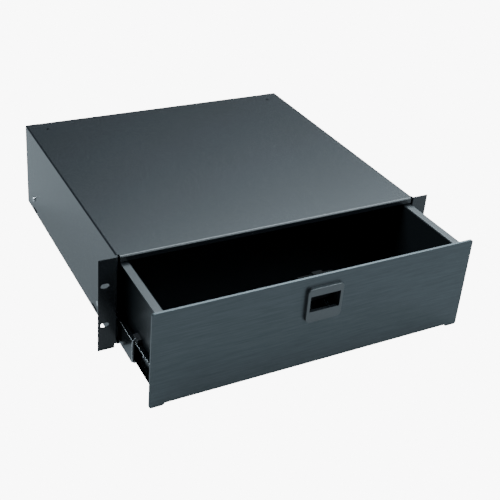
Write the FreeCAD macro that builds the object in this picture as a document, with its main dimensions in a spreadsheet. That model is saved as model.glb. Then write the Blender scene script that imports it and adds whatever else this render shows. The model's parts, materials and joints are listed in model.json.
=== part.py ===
"""Sliding rack drawer, 3U high, for a 19-inch rack, in millimetres.

The origin is the centre of the four rack slots, on the plane of the ears that meets the rack
rails. X runs across the rack, Y runs back into it and Z is up. The drawer is drawn shut in its
own frame, and its placement pulls it out by `drawer_open`. The slides' middle rails and ball
cages follow it by their shares of that distance.
"""
import FreeCAD, Part
import math
import os

import Sketcher

doc = FreeCAD.newDocument("rack_drawer")
sheet = doc.addObject("Spreadsheet::Sheet", "Sizes")


# ---------------------------------------------------------------- sizes that drive the model


class Size:
    """A number in millimetres that also knows the sheet expression it comes from."""

    def __init__(self, number, text):
        self.number = float(number)
        self.text = text

    def join(self, sign, other, number):
        return Size(number, f"({self.text} {sign} {as_size(other).text})")

    def __add__(self, other):
        return self.join("+", other, self.number + as_size(other).number)

    def __sub__(self, other):
        return self.join("-", other, self.number - as_size(other).number)

    def __mul__(self, other):
        return self.join("*", other, self.number * as_size(other).number)

    def __truediv__(self, other):
        return self.join("/", other, self.number / as_size(other).number)

    def __radd__(self, other):
        return as_size(other) + self

    def __rsub__(self, other):
        return as_size(other) - self

    def __rmul__(self, other):
        return as_size(other) * self

    def __neg__(self):
        return Size(-self.number, f"(0 - {self.text})")


def as_size(value):
    """A plain number becomes a Size with the number as its expression."""
    if isinstance(value, Size):
        return value
    return Size(value, f"({float(value)!r})")


def side_of_triangle(long_side, short_side):
    """The third side of a right triangle."""
    number = math.sqrt(long_side.number**2 - short_side.number**2)
    return Size(number, f"sqrt({long_side.text}^2 - {short_side.text}^2)")


def size(alias, number, note):
    """Writes one driving dimension into the sheet and returns it as a Size."""
    size.row += 1
    sheet.set(f"A{size.row}", note)
    sheet.set(f"B{size.row}", str(number))
    sheet.setAlias(f"B{size.row}", alias)
    return Size(number, f"Sizes.{alias}")


size.row = 0

# the rack standard
rack_width = size("rack_width", 482.6, "across the two ears")
rack_height = size("rack_height", 132.6, "three rack units")
slot_inset = size("slot_inset", 8.75, "ear's edge to the middle of its slots")
slot_apart = size("slot_apart", 57.15, "between the ear slots, up and down")
slot_width = size("slot_width", 7.0, "width of an ear slot")
slot_length = size("slot_length", 11.0, "end to end of an ear slot")

# the case
case_sheet = size("case_sheet", 1.5, "thickness of the case's steel")
case_bend = size("case_bend", 1.0, "inner radius of the case's bends")
ear_reach = size("ear_reach", 23.8, "ear outside the case's wall")
case_depth = size("case_depth", 396.0, "front of the ears to the back")
corner_set_back = size("corner_set_back", 4.0, "from the ears' back face to the walls' full section")
corner_relief = size("corner_relief", 2.5, "cut beside the front lip")
foot_relief_width = size("foot_relief_width", 3.6, "width of the cut at each ear's foot")
foot_relief_height = size("foot_relief_height", 6.0, "height of the cut at each ear's foot")
lip_height = size("lip_height", 7.5, "front lip of the top, that the latch hooks")
base_flange = size("base_flange", 20.0, "flange along the foot of each wall")
rear_flange = size("rear_flange", 10.0, "forward flange of the rear panel")
rear_tab_inset = size("rear_tab_inset", 20.5, "case's wall to the rear panel's tab in the top")
tab_gap = size("tab_gap", 0.2, "clearance round that tab")
top_hole = size("top_hole", 4.5, "hole near each rear corner of the top")
top_hole_side = size("top_hole_side", 27.5, "from those holes to the walls")
top_hole_inset = size("top_hole_inset", 23.0, "from those holes to the back")
wall_slot_length = size("wall_slot_length", 18.0, "sight slot in a wall, end to end")
wall_slot_width = size("wall_slot_width", 4.0, "sight slot in a wall, width")
wall_slot_height = size("wall_slot_height", 7.2, "sight slot above the case's foot")
wall_slot_front = size("wall_slot_front", 79.0, "front sight slot behind the ears")
wall_slot_rear = size("wall_slot_rear", 352.0, "rear sight slot behind the ears")

# the ball-bearing slides
slide_height = size("slide_height", 42.0, "height of an outer rail")
slide_width = size("slide_width", 12.7, "wall to drawer side, filled by a slide")
slide_above_foot = size("slide_above_foot", 23.2, "slide centre above the case's foot")
rail_sheet = size("rail_sheet", 1.2, "thickness of the rails' steel")
ball_size = size("ball_size", 3.2, "diameter of a ball")
ball_play = size("ball_play", 0.05, "clearance between a ball and its race")
race_lean = size("race_lean", 30.0, "degrees from an outer ball down to its inner ball")
race_wrap = size("race_wrap", 20.0, "degrees where an outer race's lip ends")
groove_lip = size("groove_lip", 50.0, "degrees below level where an inner groove starts")
groove_wrap = size("groove_wrap", 60.0, "degrees below level where an inner groove ends")
middle_stand = size("middle_stand", 2.3, "wall to the web of a middle rail")
outer_length = size("outer_length", 370.0, "length of an outer rail")
outer_front = size("outer_front", 12.0, "outer rail's front end behind the ears")
middle_length = size("middle_length", 354.0, "length of a middle rail")
middle_front = size("middle_front", 14.0, "middle rail's front end when shut")
inner_length = size("inner_length", 366.0, "length of an inner rail")
inner_front = size("inner_front", 4.0, "inner rail's front end when shut")
cage_sheet = size("cage_sheet", 0.4, "thickness of a ball cage")
cage_length = size("cage_length", 150.0, "length of a ball cage")
cage_front = size("cage_front", 114.0, "ball cage's front end when shut")
cage_gap = size("cage_gap", 0.3, "clearance beside a ball cage's web")
cage_drop = size("cage_drop", 0.65, "inner cage's flange below the middles of its balls")
seat_pitch = size("seat_pitch", 44.0, "between ball seats along a cage")
seat_count = 4
bumper_length = size("bumper_length", 10.0, "plastic end of a middle rail")
bumper_nose = size("bumper_nose", 2.0, "how far that end stands out of the rail")
hood_length = size("hood_length", 7.0, "hood of that end along the rail's upper race")
hood_nose = size("hood_nose", 7.0, "how far the hood stands out of the rail")
stop_length = size("stop_length", 8.0, "rear stop of an outer rail")
stop_width = size("stop_width", 20.0, "height of a rear stop")
part_gap = size("part_gap", 0.4, "clearance between parts that pass each other")

# the screws that hold the slides
screw_size = size("screw_size", 4.0, "thread of the rail screws")
screw_head = size("screw_head", 8.0, "head of a rail screw")
screw_head_height = size("screw_head_height", 2.4, "height of that head")
screw_tail = size("screw_tail", 0.3, "thread standing out of a rail's web")
case_screw_front = size("case_screw_front", 64.0, "front case screw behind the ears")
case_screw_rear = size("case_screw_rear", 359.0, "rear case screw behind the ears")
drawer_screw_front = size("drawer_screw_front", 60.0, "front drawer screw behind the ears, shut")
drawer_screw_rear = size("drawer_screw_rear", 330.0, "rear drawer screw behind the ears, shut")

# the drawer
drawer_open = size("drawer_open", 117.0, "how far the drawer stands open")
shut_gap = size("shut_gap", 0.5, "panel to ears when the drawer is shut")
drawer_sheet = size("drawer_sheet", 1.2, "thickness of the drawer's steel")
drawer_bend = size("drawer_bend", 0.8, "inner radius of the drawer's bends")
drawer_length = size("drawer_length", 376.0, "length of the drawer's tray")
rim_width = size("rim_width", 11.4, "outward rim of a drawer side")
rim_drop = size("rim_drop", 9.3, "rim below the top of the case")
tray_rise = size("tray_rise", 5.8, "underside of the tray above the case's foot")
wall_flange = size("wall_flange", 12.0, "flange of the drawer's end walls")
panel_inset = size("panel_inset", 18.8, "ear's edge to the end of the front panel")
panel_height = size("panel_height", 131.8, "height of the front panel")
panel_plate = size("panel_plate", 3.2, "thickness of the front panel")
panel_corner = size("panel_corner", 3.0, "radius of the panel's corners")
foot_width = size("foot_width", 17.0, "width of each foot under the panel")
foot_drop = size("foot_drop", 2.8, "height of those feet")
foot_slope = size("foot_slope", 3.0, "slope beside a foot")
stud_size = size("stud_size", 4.0, "thread of the panel's studs")
stud_inset = size("stud_inset", 62.5, "end of the panel to the studs")
stud_apart = size("stud_apart", 76.0, "between the studs, up and down")
stud_length = size("stud_length", 7.0, "stud standing out of the panel")
stud_seat = size("stud_seat", 1.6, "stud's depth in the panel")
nut_flats = size("nut_flats", 7.0, "across the flats of a nut")
nut_height = size("nut_height", 3.2, "height of a nut")

# the latch, measured back from the panel's front face and down from the top of the case
latch_drop = size("latch_drop", 62.8, "lower edge of the bezel below the top of the case")
latch_height = size("latch_height", 48.0, "height of the bezel")
latch_width = size("latch_width", 50.0, "width of the bezel")
latch_proud = size("latch_proud", 4.5, "bezel in front of the panel")
latch_corner = size("latch_corner", 6.0, "radius of the bezel's corners")
bezel_edge = size("bezel_edge", 0.6, "rounded edge of the bezel")
mouth_width = size("mouth_width", 42.0, "finger opening, side to side")
mouth_height = size("mouth_height", 22.0, "finger opening, up and down")
mouth_rise = size("mouth_rise", 15.4, "finger opening above the bezel's lower edge")
sleeve_inset = size("sleeve_inset", 2.2, "bezel's edge to its sleeve")
sleeve_wall = size("sleeve_wall", 1.6, "wall of the sleeve")
sleeve_depth = size("sleeve_depth", 9.0, "sleeve behind the panel's face")
box_depth = size("box_depth", 25.0, "back of the latch box behind the panel's face")
box_wall = size("box_wall", 1.8, "wall of the latch box")
box_flange = size("box_flange", 3.5, "flange round the latch box")
fit_gap = size("fit_gap", 0.3, "clearance between the latch's moving parts")
hinge_depth = size("hinge_depth", 5.6, "hinge pin behind the panel's face")
hinge_rise = size("hinge_rise", 40.5, "hinge pin above the bezel's lower edge")
pin_size = size("pin_size", 2.4, "diameter of the hinge pin")
pin_play = size("pin_play", 0.05, "clearance round the hinge pin")
hub_size = size("hub_size", 4.8, "diameter of the lever's hub")
lever_width = size("lever_width", 41.0, "width of the finger lever")
lever_plate = size("lever_plate", 2.0, "thickness of the finger lever")
lever_reach = size("lever_reach", 24.0, "length of the finger lever below its pin")
lever_slant = size("lever_slant", 20.0, "degrees that the finger lever leans back")
lever_turn = size("lever_turn", 25.0, "degrees that the finger lever turns when pulled")
arm_reach = size("arm_reach", 14.5, "hinge pin to the tip of the lever's arm")
arm_width = size("arm_width", 5.0, "width of that arm")
arm_nose = size("arm_nose", 2.4, "diameter of the arm's round tip")
bolt_width = size("bolt_width", 14.0, "width of the latch bolt")
bolt_thick = size("bolt_thick", 6.0, "thickness of the bolt's head")
bolt_bite = size("bolt_bite", 5.0, "how far the bolt reaches behind the lip")
bolt_gap = size("bolt_gap", 0.6, "bolt to the back of the lip when shut")
bridge_height = size("bridge_height", 3.6, "bridge between the bolt's head and leg")
leg_thick = size("leg_thick", 4.6, "thickness of the bolt's leg")
leg_width = size("leg_width", 10.0, "width of the bolt's leg")
leg_foot = size("leg_foot", 3.4, "leg below the arm's tip")
spring_size = size("spring_size", 4.4, "outside of the latch spring")
spring_wire = size("spring_wire", 0.6, "wire of the latch spring")
spring_turns = size("spring_turns", 4.0, "turns of the latch spring")
spring_length = size("spring_length", 11.0, "length of the latch spring")
seat_height = size("seat_height", 2.0, "ledge under the latch spring")
boss_size = size("boss_size", 6.0, "diameter of the screw bosses")
boss_across = size("boss_across", 26.0, "between the screw bosses")
boss_rise = size("boss_rise", 9.6, "bosses above the bezel's lower edge")
latch_screw = size("latch_screw", 2.6, "thread of the latch screws")
latch_screw_head = size("latch_screw_head", 5.0, "head of a latch screw")
latch_screw_length = size("latch_screw_length", 8.0, "length of a latch screw")
latch_screw_dome = size("latch_screw_dome", 1.6, "height of that head")

# ---------------------------------------------------------------- places worked out from them

case_width = rack_width - ear_reach * 2
slot_across = rack_width - slot_inset * 2
rear_tab = case_width - rear_tab_inset * 2
top_hole_across = case_width - top_hole_side * 2
panel_width = rack_width - panel_inset * 2
stud_across = panel_width - stud_inset * 2
half_case = case_width / 2
wall_face = half_case - case_sheet
foot = -(rack_height / 2)
top = rack_height / 2
ear_front = -case_sheet
rear = case_depth - case_sheet
slide_z = foot + slide_above_foot
side_face = wall_face - slide_width
tray_inside = side_face - drawer_sheet
rim_top = top - rim_drop
tray_foot = foot + tray_rise
panel_back = ear_front - shut_gap
panel_front = panel_back - panel_plate

ball_radius = ball_size / 2
race = ball_radius + ball_play
race_back = race + rail_sheet
lean = math.radians(race_lean.number)
outer_ball = (race_back, slide_height / 2 - race_back)
inner_ball = (
    outer_ball[0] + (race + race_back) * math.cos(lean),
    outer_ball[1] - (race + race_back) * math.sin(lean),
)

latch_z = top - latch_drop
mouth_low = latch_z + mouth_rise
mouth_high = mouth_low + mouth_height
hinge = (panel_front + hinge_depth, latch_z + hinge_rise)

# the bolt hangs from a bridge: its head hooks the lip, its leg is worked by the lever's arm
bolt_front = bolt_gap
bolt_back = bolt_front + bolt_thick
bolt_tip = top - lip_height + bolt_bite
leg_middle = hinge[0] + arm_reach
leg_front = leg_middle - leg_thick / 2
leg_back = leg_middle + leg_thick / 2
bridge_top = rim_top
bridge_foot = bridge_top - bridge_height
leg_low = hinge[1] - leg_foot
spring_foot = leg_low - spring_length


# ---------------------------------------------------------------- drawing on a sketch


def turned_corner(centre, radius, degrees):
    """A point on a circle."""
    angle = math.radians(degrees)
    return (centre[0] + radius * math.cos(angle), centre[1] + radius * math.sin(angle))


def rectangle(left, right, low, high):
    """The four corners of a rectangle."""
    return ("outline", [(left, low), (right, low), (right, high), (left, high)])


def rounded_rectangle(left, right, low, high, radius):
    """A rectangle whose corners are quarter arcs."""
    return (
        "outline",
        [
            (left + radius, low),
            (right - radius, low, radius, 1),
            (right, low + radius),
            (right, high - radius, radius, 1),
            (right - radius, high),
            (left + radius, high, radius, 1),
            (left, high - radius),
            (left, low + radius, radius, 1),
        ],
    )


def hexagon(centre, flats):
    """A nut's outline."""
    reach = flats / math.sqrt(3)
    return ("outline", [turned_corner(centre, reach, 60 * step) for step in range(6)])


def bent_sheet(path, thickness, radius):
    """The outline of sheet metal with square bends. The sheet lies to the right of its path."""
    directions = []
    for (x0, y0), (x1, y1) in zip(path, path[1:]):
        across = as_size(x1).number - as_size(x0).number
        up = as_size(y1).number - as_size(y0).number
        directions.append((sign(across), sign(up)))
    there = [path[0]]
    back = [beside(path[0], directions[0], thickness)]
    for corner, before, after in zip(path[1:-1], directions, directions[1:]):
        turn = sign(before[0] * after[1] - before[1] * after[0])
        near = radius if turn > 0 else radius + thickness
        far = radius + thickness if turn > 0 else radius
        there.append(along(corner, before, -near) + (near, turn))
        there.append(along(corner, after, near))
        other = beside(beside(corner, before, thickness), after, thickness)
        back.append(along(other, before, -far))
        back.append(along(other, after, far) + (far, -turn))
    there.append(path[-1])
    back.append(beside(path[-1], directions[-1], thickness))
    return ("outline", there + back[::-1])


def sign(number):
    return (number > 1e-9) - (number < -1e-9)


def along(point, direction, distance):
    """The point moved along an axis direction."""
    x, y = point[:2]
    if direction[0]:
        x = x + distance * direction[0]
    if direction[1]:
        y = y + distance * direction[1]
    return (x, y)


def beside(point, direction, distance):
    """The point moved to the right of an axis direction."""
    return along(point, (direction[1], -direction[0]), distance)


def pin_down(sketch, edge, end, point, bindings):
    """Fixes one end of an edge at a point, bound to the sheet."""
    x, y = (as_size(value) for value in point)
    bindings.append((Sketcher.Constraint("DistanceX", -1, 1, edge, end, x.number), x))
    bindings.append((Sketcher.Constraint("DistanceY", -1, 1, edge, end, y.number), y))


def add_outline(sketch, corners, bindings):
    """A closed outline. A corner (x, y, radius, turn) starts an arc that turns left or right."""
    ends = []
    for corner, following in zip(corners, corners[1:] + corners[:1]):
        start = FreeCAD.Vector(as_size(corner[0]).number, as_size(corner[1]).number, 0)
        finish = FreeCAD.Vector(as_size(following[0]).number, as_size(following[1]).number, 0)
        if len(corner) == 2:
            edge = sketch.addGeometry(Part.LineSegment(start, finish))
            ends.append((edge, 1, 2))
            continue
        radius, turn = corner[2:]
        chord = finish - start
        rise = math.sqrt(max(radius.number**2 - (chord.Length / 2) ** 2, 0))
        across = FreeCAD.Vector(-chord.y, chord.x, 0).normalize()
        centre = (start + finish) / 2 + across * rise * turn
        first, last = (start, finish) if turn > 0 else (finish, start)
        angles = [math.atan2(point.y - centre.y, point.x - centre.x) for point in (first, last)]
        circle = Part.Circle(centre, FreeCAD.Vector(0, 0, 1), radius.number)
        edge = sketch.addGeometry(Part.ArcOfCircle(circle, *angles))
        ends.append((edge, 1, 2) if turn > 0 else (edge, 2, 1))
        bindings.append((Sketcher.Constraint("Radius", edge, radius.number), radius))
    for (edge, start, finish), (following, next_start, _) in zip(ends, ends[1:] + ends[:1]):
        sketch.addConstraint(Sketcher.Constraint("Coincident", edge, finish, following, next_start))
    for (edge, start, _), corner in zip(ends, corners):
        pin_down(sketch, edge, start, corner[:2], bindings)


def add_circle(sketch, x, y, radius, bindings):
    centre = FreeCAD.Vector(as_size(x).number, as_size(y).number, 0)
    edge = sketch.addGeometry(Part.Circle(centre, FreeCAD.Vector(0, 0, 1), radius.number))
    pin_down(sketch, edge, 3, (x, y), bindings)
    bindings.append((Sketcher.Constraint("Radius", edge, radius.number), radius))


def round_slot(x, y, length, width):
    """A slot with round ends that runs along the sketch's first axis."""
    return ("slot", x, y, length / 2 - width / 2, width / 2)


def add_slot(sketch, x, y, reach, radius, bindings):
    """Two half circles joined by lines that touch them."""
    up = FreeCAD.Vector(0, 0, 1)
    ends = []
    for way in (-1, 1):
        centre = FreeCAD.Vector((x + reach * way).number, as_size(y).number, 0)
        low, high = (math.pi / 2, math.pi * 3 / 2) if way < 0 else (-math.pi / 2, math.pi / 2)
        arc = Part.ArcOfCircle(Part.Circle(centre, up, radius.number), low, high)
        edge = sketch.addGeometry(arc)
        pin_down(sketch, edge, 3, (x + reach * way, y), bindings)
        bindings.append((Sketcher.Constraint("Radius", edge, radius.number), radius))
        ends.append((edge, arc))
    (left, left_arc), (right, right_arc) = ends
    low_line = sketch.addGeometry(Part.LineSegment(left_arc.EndPoint, right_arc.StartPoint))
    high_line = sketch.addGeometry(Part.LineSegment(right_arc.EndPoint, left_arc.StartPoint))
    sketch.addConstraint([
        Sketcher.Constraint("Tangent", left, 2, low_line, 1),
        Sketcher.Constraint("Tangent", low_line, 2, right, 1),
        Sketcher.Constraint("Tangent", right, 2, high_line, 1),
        Sketcher.Constraint("Tangent", high_line, 2, left, 1),
    ])


def circle(x, y, diameter):
    return ("circle", x, y, diameter / 2)


# each origin plane, with the way its normal points along the remaining axis
NORMALS = {"XY_Plane": 1, "XZ_Plane": -1, "YZ_Plane": 1}


def new_sketch(body, name, plane, shapes, start):
    """A sketch on one of the body's origin planes, moved to `start` along the plane's axis."""
    sketch = body.newObject("Sketcher::SketchObject", name)
    support = next(item for item in body.Origin.OriginFeatures if item.Role == plane)
    sketch.AttachmentSupport = [(support, "")]
    sketch.MapMode = "FlatFace"
    place = as_size(start) * NORMALS[plane]
    sketch.setExpression("AttachmentOffset.Base.z", place.text)
    bindings = []
    for shape in shapes:
        draw = {"outline": add_outline, "circle": add_circle, "slot": add_slot}[shape[0]]
        draw(sketch, *shape[1:], bindings)
    first = sketch.ConstraintCount
    sketch.addConstraint([constraint for constraint, _ in bindings])
    for index, (_, bound) in enumerate(bindings):
        sketch.setExpression(f"Constraints[{first + index}]", bound.text)
    return sketch


def new_body(label):
    body = doc.addObject("PartDesign::Body", label)
    body.Label = label
    return body


def add(body, name, plane, shapes, start, length):
    """Pads the shapes from `start`, along the axis that the plane leaves out."""
    sketch = new_sketch(body, f"{name}_sketch", plane, shapes, start)
    pad = body.newObject("PartDesign::Pad", name)
    pad.Profile = sketch
    pad.Reversed = NORMALS[plane] < 0
    pad.setExpression("Length", as_size(length).text)
    return pad


def cut(body, name, plane, shapes, start, length):
    """Pockets the shapes from `start`, along the axis that the plane leaves out."""
    sketch = new_sketch(body, f"{name}_sketch", plane, shapes, start)
    pocket = body.newObject("PartDesign::Pocket", name)
    pocket.Profile = sketch
    pocket.Reversed = NORMALS[plane] > 0
    pocket.setExpression("Length", as_size(length).text)
    return pocket


def spin(body, name, plane, corners, start, axis="H_Axis"):
    """Turns an outline about one of its sketch's own axes."""
    sketch = new_sketch(body, f"{name}_sketch", plane, [("outline", corners)], start)
    turned = body.newObject("PartDesign::Revolution", name)
    turned.Profile = sketch
    turned.ReferenceAxis = (sketch, [axis])
    turned.Angle = 360
    return turned


def origin_part(body, role):
    return next(item for item in body.Origin.OriginFeatures if item.Role == role)


def repeat(body, feature, axis_role, count, length):
    """Copies a feature along one of the body's own axes."""
    pattern = body.newObject("PartDesign::LinearPattern", f"{feature.Name}_row")
    pattern.Originals = [feature]
    pattern.Direction = (origin_part(body, axis_role), [""])
    pattern.Occurrences = count
    pattern.setExpression("Length", as_size(length).text)
    body.Tip = pattern
    return pattern


def round_edges(body, name, radius, wanted):
    """Fillets the edges of the body's last feature that `wanted` accepts."""
    doc.recompute()
    base = body.Tip
    edges = [f"Edge{number}" for number, edge in enumerate(base.Shape.Edges, 1) if wanted(edge)]
    fillet = body.newObject("PartDesign::Fillet", name)
    fillet.Base = (base, edges)
    fillet.setExpression("Radius", radius.text)
    return fillet


def place(item, x=0, y=0, z=0):
    """Places a sub-part, each coordinate bound to the sheet."""
    for axis, value in (("x", x), ("y", y), ("z", z)):
        item.setExpression(f"Placement.Base.{axis}", as_size(value).text)


# ---------------------------------------------------------------- the case


def make_case_wrap():
    body = new_body("case_wrap")
    path = [
        (-half_case + base_flange, foot),
        (-half_case, foot),
        (-half_case, top),
        (half_case, top),
        (half_case, foot),
        (half_case - base_flange, foot),
    ]
    add(body, "wrap", "XZ_Plane", [bent_sheet(path, case_sheet, case_bend)],
        corner_set_back, rear - corner_set_back)
    ears = [
        [(-wall_face, corner_set_back), (-wall_face, ear_front), (-rack_width / 2, ear_front)],
        [(rack_width / 2, ear_front), (wall_face, ear_front), (wall_face, corner_set_back)],
    ]
    for name, ear in zip(("left_ear", "right_ear"), ears):
        add(body, name, "XY_Plane", [bent_sheet(ear, case_sheet, case_bend)], foot, rack_height)
    lip_reach = wall_face - corner_relief
    lip = [(corner_set_back, top), (ear_front, top), (ear_front, top - lip_height)]
    add(body, "front_lip", "YZ_Plane", [bent_sheet(lip[::-1], case_sheet, case_bend)],
        -lip_reach, lip_reach * 2)
    slots = [
        round_slot(slot_across / 2 * across, slot_apart / 2 * up, slot_length, slot_width)
        for across in (-1, 1)
        for up in (-1, 1)
    ]
    cut(body, "rack_slots", "XZ_Plane", slots, ear_front, case_sheet)
    relief_left = wall_face - foot_relief_width / 2
    relief_right = wall_face + foot_relief_width
    reliefs = [
        rectangle(-relief_right, -relief_left, foot, foot + foot_relief_height),
        rectangle(relief_left, relief_right, foot, foot + foot_relief_height),
    ]
    cut(body, "foot_reliefs", "XZ_Plane", reliefs, ear_front, corner_set_back + case_sheet * 2)
    hole_y = rear - top_hole_inset
    holes = [circle(top_hole_across / 2 * across, hole_y, top_hole) for across in (-1, 1)]
    cut(body, "top_holes", "XY_Plane", holes, top - case_sheet, case_sheet)
    notch = [rectangle(-rear_tab / 2, rear_tab / 2, rear - case_sheet, rear)]
    cut(body, "rear_notch", "XY_Plane", notch, top - case_sheet, case_sheet)
    openings = [
        round_slot(wall_slot_front, foot + wall_slot_height, wall_slot_length, wall_slot_width),
        round_slot(wall_slot_rear, foot + wall_slot_height, wall_slot_length, wall_slot_width),
        circle(case_screw_front, slide_z, screw_size),
        circle(case_screw_rear, slide_z, screw_size),
    ]
    cut(body, "wall_openings", "YZ_Plane", openings, -half_case, case_width)
    return body


def make_rear_panel():
    body = new_body("rear_panel")
    path = [
        (-wall_face, rear - rear_flange),
        (-wall_face, rear),
        (wall_face, rear),
        (wall_face, rear - rear_flange),
    ]
    corner = case_sheet + case_bend
    add(body, "plate", "XY_Plane", [bent_sheet(path, case_sheet, case_bend)],
        foot + corner, rack_height - corner * 2)
    tab_reach = rear_tab / 2 - tab_gap
    tab = [rectangle(-tab_reach, tab_reach, top - corner * 2, top - tab_gap)]
    add(body, "top_tab", "XZ_Plane", tab, rear - case_sheet, case_sheet)
    base_reach = half_case - base_flange - tab_gap
    base = [
        (rear, foot + corner * 2),
        (rear, foot),
        (rear - rear_flange, foot),
    ]
    add(body, "base_lip", "YZ_Plane", [bent_sheet(base, case_sheet, case_bend)],
        -base_reach, base_reach * 2)
    return body


# ---------------------------------------------------------------- the slides
# Each slide part is drawn from the case wall towards the drawer (X), with its own Z = 0 on the
# slide's centre line. Every section is the same above and below that line, so the right-hand
# part is the left-hand one turned half round about Y.


def place_slide_part(body, side, share):
    """Moves a slide part to its wall and out by its share of the drawer's opening."""
    turn, wall = (180, wall_face) if side == "right" else (0, -wall_face)
    body.Placement.Rotation = FreeCAD.Rotation(FreeCAD.Vector(0, 1, 0), turn)
    place(body, wall, drawer_open * -share, slide_z)


def both_halves(upper):
    """The whole section from its upper half, whose ends lie on the web's two faces.

    The upper half runs from the web's back face to its front face, clockwise.
    """
    lower = []
    points = upper[::-1]
    for index, corner in enumerate(points):
        following = points[index + 1] if index + 1 < len(points) else None
        mirrored = (corner[0], -corner[1])
        if following is not None and len(following) == 4:
            mirrored = mirrored + (following[2], following[3])
        lower.append(mirrored)
    return ("outline", upper + lower)


def outer_section():
    """Web against the wall, with a race curled over each row of outer balls."""
    wrap_end = race_wrap.number
    return both_halves([
        (outer_ball[0] - race_back, outer_ball[1], race_back, -1),
        turned_corner(outer_ball, race_back, wrap_end),
        turned_corner(outer_ball, race, wrap_end) + (race, 1),
        (outer_ball[0] - race, outer_ball[1]),
    ])


def middle_section():
    """Web beside the outer rail's, bent under the outer balls and over the inner ones."""
    groove_side = outer_ball[0] - middle_stand
    web_side = middle_stand + rail_sheet - outer_ball[0]
    lean_end = -race_lean.number
    lip_end = -race_wrap.number / 2
    return both_halves([
        (middle_stand, outer_ball[1] - side_of_triangle(race, groove_side), race, 1),
        turned_corner(outer_ball, race, lean_end) + (race_back, -1),
        turned_corner(inner_ball, race_back, lip_end),
        turned_corner(inner_ball, race, lip_end) + (race, 1),
        turned_corner(outer_ball, race_back, lean_end) + (race_back, -1),
        (middle_stand + rail_sheet, outer_ball[1] - side_of_triangle(race_back, web_side)),
    ])


def inner_section():
    """Web against the drawer's side, with a groove under each row of inner balls."""
    groove_end = 180 + groove_wrap.number
    start = turned_corner(inner_ball, race, -groove_lip.number)
    flange_top = start[1]
    flange_foot = flange_top - rail_sheet
    under = inner_ball[1] - flange_foot
    bend = rail_sheet / 2
    return both_halves([
        (slide_width - rail_sheet, flange_foot - bend, bend, 1),
        (slide_width - rail_sheet - bend, flange_foot),
        (inner_ball[0] + side_of_triangle(race_back, under), flange_foot, race_back, -1),
        turned_corner(inner_ball, race_back, groove_end),
        turned_corner(inner_ball, race, groove_end) + (race, 1),
        start,
        (slide_width - rail_sheet - bend, flange_top, rail_sheet + bend, -1),
        (slide_width, flange_foot - bend),
    ])


def screw_holes(front, back):
    return [circle(front, 0, screw_size), circle(back, 0, screw_size)]


def make_outer_rail(side):
    body = new_body(f"{side}_outer_rail")
    add(body, f"{side}_outer_web", "XZ_Plane", [outer_section()], outer_front, outer_length)
    cut(body, f"{side}_outer_holes", "YZ_Plane", screw_holes(case_screw_front, case_screw_rear),
        0, rail_sheet)
    place_slide_part(body, side, 0)
    return body


def make_middle_rail(side):
    body = new_body(f"{side}_middle_rail")
    add(body, f"{side}_middle_web", "XZ_Plane", [middle_section()], middle_front, middle_length)
    place_slide_part(body, side, 1 / 2)
    return body


def make_inner_rail(side):
    body = new_body(f"{side}_inner_rail")
    add(body, f"{side}_inner_web", "XZ_Plane", [inner_section()], inner_front, inner_length)
    holes = screw_holes(drawer_screw_front, drawer_screw_rear)
    cut(body, f"{side}_inner_holes", "YZ_Plane", holes, slide_width - rail_sheet, rail_sheet)
    place_slide_part(body, side, 1)
    return body


def seat_places():
    """Where the ball seats of a row stand along a cage."""
    first = cage_front + (cage_length - seat_pitch * (seat_count - 1)) / 2
    return [first + seat_pitch * step for step in range(seat_count)]


def make_outer_cage(side):
    """A flat strip between the outer and middle webs, notched for the balls at both edges."""
    body = new_body(f"{side}_outer_ball_cage")
    web = rail_sheet + cage_gap
    edge = outer_ball[1] + ball_radius / 3
    strip = [rectangle(web, web + cage_sheet, -edge, edge)]
    add(body, f"{side}_outer_strip", "XZ_Plane", strip, cage_front, cage_length)
    notches = [circle(y, outer_ball[1] * up, ball_size) for y in seat_places() for up in (-1, 1)]
    cut(body, f"{side}_outer_notches", "YZ_Plane", notches, web, cage_sheet)
    place_slide_part(body, side, 1 / 4)
    return body


def make_inner_cage(side):
    """A channel beside the middle web, whose notched flanges space the inner balls."""
    body = new_body(f"{side}_inner_ball_cage")
    web = middle_stand + rail_sheet + cage_gap
    reach = inner_ball[0] + ball_radius - ball_play * 4
    edge = inner_ball[1] - cage_drop
    path = [(reach, -edge), (web, -edge), (web, edge), (reach, edge)]
    add(body, f"{side}_inner_channel", "XZ_Plane", [bent_sheet(path, cage_sheet, cage_sheet / 2)],
        cage_front, cage_length)
    notches = [circle(inner_ball[0], y, ball_size + ball_play * 4) for y in seat_places()]
    cut(body, f"{side}_inner_notches", "XY_Plane", notches, -edge, edge * 2)
    place_slide_part(body, side, 3 / 4)
    return body


def make_balls(label, side, row, share):
    """The balls in the end seats of two rows, above and below the slide's centre line."""
    balls = []
    for y in seat_places()[:: seat_count - 1]:
        for up in (-1, 1):
            ball = doc.addObject("Part::Sphere", f"{label}_ball")
            ball.setExpression("Radius", ball_radius.text)
            place(ball, row[0], y, row[1] * up)
            balls.append(ball)
    group = doc.addObject("Part::Compound", label)
    group.Label = label
    group.Links = balls
    place_slide_part(group, side, share)
    return group


def upright(corners, up):
    """An outline as drawn, or upside down where `up` is -1."""
    return ("outline", [(x, z * up) for x, z in corners])


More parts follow.
